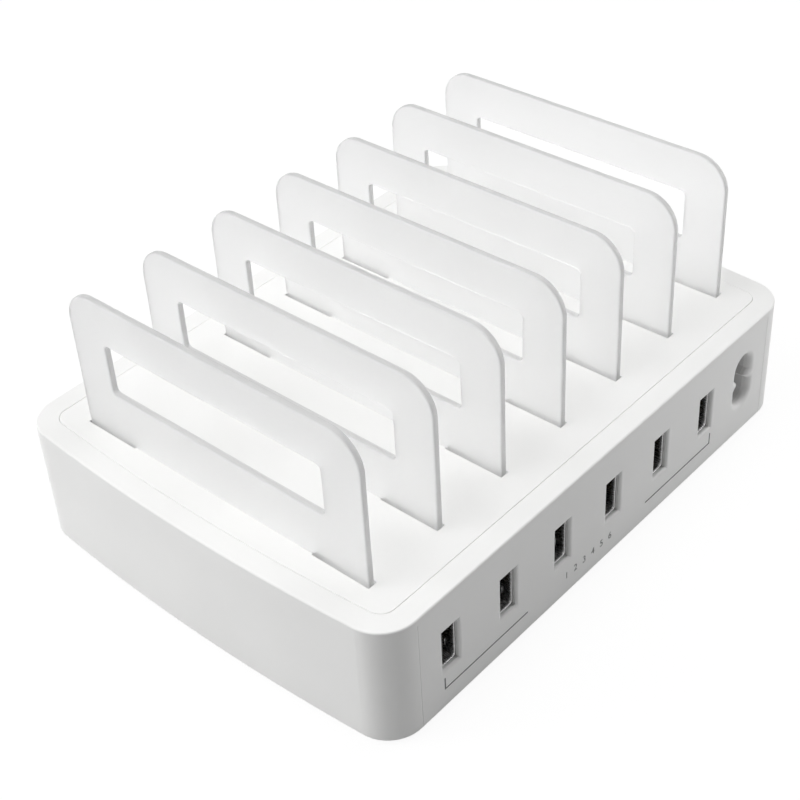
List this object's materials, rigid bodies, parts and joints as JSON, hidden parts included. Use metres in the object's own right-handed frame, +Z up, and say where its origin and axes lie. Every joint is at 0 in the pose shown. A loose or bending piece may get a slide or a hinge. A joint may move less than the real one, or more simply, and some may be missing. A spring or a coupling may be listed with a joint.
{
  "type": "charging station organizer",
  "caption": "Low white charging station with a front row of upright USB sockets, a mains inlet and a rack of lift-out frosted windowed dividers on top.",
  "frame": {"origin": "on the table, under the middle of the base", "axes": "+X along the socket row towards the mains inlet, +Y from the sockets to the back, +Z up"},
  "size_m": [0.187, 0.137, 0.0847],
  "materials": {
    "white_abs": "satin moulded white plastic",
    "frosted_acrylic": "frosted translucent plastic",
    "plated_steel": "nickel-plated sheet",
    "black_plastic": "matte black",
    "gold_plated": "gold-plated contact",
    "grey_nylon": "moulded pale grey insulator",
    "plated_pin": "nickel-plated",
    "grey_rubber": "matte",
    "screw_steel": "zinc-plated",
    "board_laminate": "solder mask",
    "yellow_film": "dipped plastic case",
    "ferrite": "sintered, matte",
    "copper_wire": "enamelled",
    "sleeved_can": "sleeved can",
    "bare_aluminium": "rolled sheet"
  },
  "bodies": {
    "base": {"board_screws": "screw_steel", "bottom_cover": "white_abs", "bridge_rectifier": "black_plastic", "cover_screws": "screw_steel", "film_capacitor": "yellow_film", "foot_front_left": "grey_rubber", "foot_front_right": "grey_rubber", "foot_rear_left": "grey_rubber", "foot_rear_right": "grey_rubber", "heat_sink": "bare_aluminium", "inlet_body": "grey_nylon", "inlet_pins": "plated_pin", "input_capacitor": "sleeved_can", "line_choke": "ferrite", "line_choke_winding": "copper_wire", "line_fuse": "black_plastic", "main_board": "board_laminate", "output_capacitors": "sleeved_can", "port_controllers": "black_plastic", "port_panel": "white_abs", "power_transistor": "black_plastic", "top_plate": "white_abs", "top_plate_screws": "screw_steel", "transformer_core": "ferrite", "transformer_winding": "copper_wire", "upper_housing": "white_abs", "usb_contacts_1": "gold_plated", "usb_contacts_2": "gold_plated", "usb_contacts_3": "gold_plated", "usb_contacts_4": "gold_plated", "usb_contacts_5": "gold_plated", "usb_contacts_6": "gold_plated", "usb_shell_1": "plated_steel", "usb_shell_2": "plated_steel", "usb_shell_3": "plated_steel", "usb_shell_4": "plated_steel", "usb_shell_5": "plated_steel", "usb_shell_6": "plated_steel", "usb_tongue_1": "black_plastic", "usb_tongue_2": "black_plastic", "usb_tongue_3": "black_plastic", "usb_tongue_4": "black_plastic", "usb_tongue_5": "black_plastic", "usb_tongue_6": "black_plastic"},
    "divider_1_body": {"divider_1": "frosted_acrylic"},
    "divider_2_body": {"divider_2": "frosted_acrylic"},
    "divider_3_body": {"divider_3": "frosted_acrylic"},
    "divider_4_body": {"divider_4": "frosted_acrylic"},
    "divider_5_body": {"divider_5": "frosted_acrylic"},
    "divider_6_body": {"divider_6": "frosted_acrylic"},
    "divider_7_body": {"divider_7": "frosted_acrylic"}
  },
  "joints": [
    {"name": "divider_1_lift", "type": "slide", "parent": "base", "child": "divider_1_body", "axis": [0, 0, 1], "range_m": [0, 0.01]},
    {"name": "divider_2_lift", "type": "slide", "parent": "base", "child": "divider_2_body", "axis": [0, 0, 1], "range_m": [0, 0.01]},
    {"name": "divider_3_lift", "type": "slide", "parent": "base", "child": "divider_3_body", "axis": [0, 0, 1], "range_m": [0, 0.01]},
    {"name": "divider_4_lift", "type": "slide", "parent": "base", "child": "divider_4_body", "axis": [0, 0, 1], "range_m": [0, 0.01]},
    {"name": "divider_5_lift", "type": "slide", "parent": "base", "child": "divider_5_body", "axis": [0, 0, 1], "range_m": [0, 0.01]},
    {"name": "divider_6_lift", "type": "slide", "parent": "base", "child": "divider_6_body", "axis": [0, 0, 1], "range_m": [0, 0.01]},
    {"name": "divider_7_lift", "type": "slide", "parent": "base", "child": "divider_7_body", "axis": [0, 0, 1], "range_m": [0, 0.01]}
  ]
}
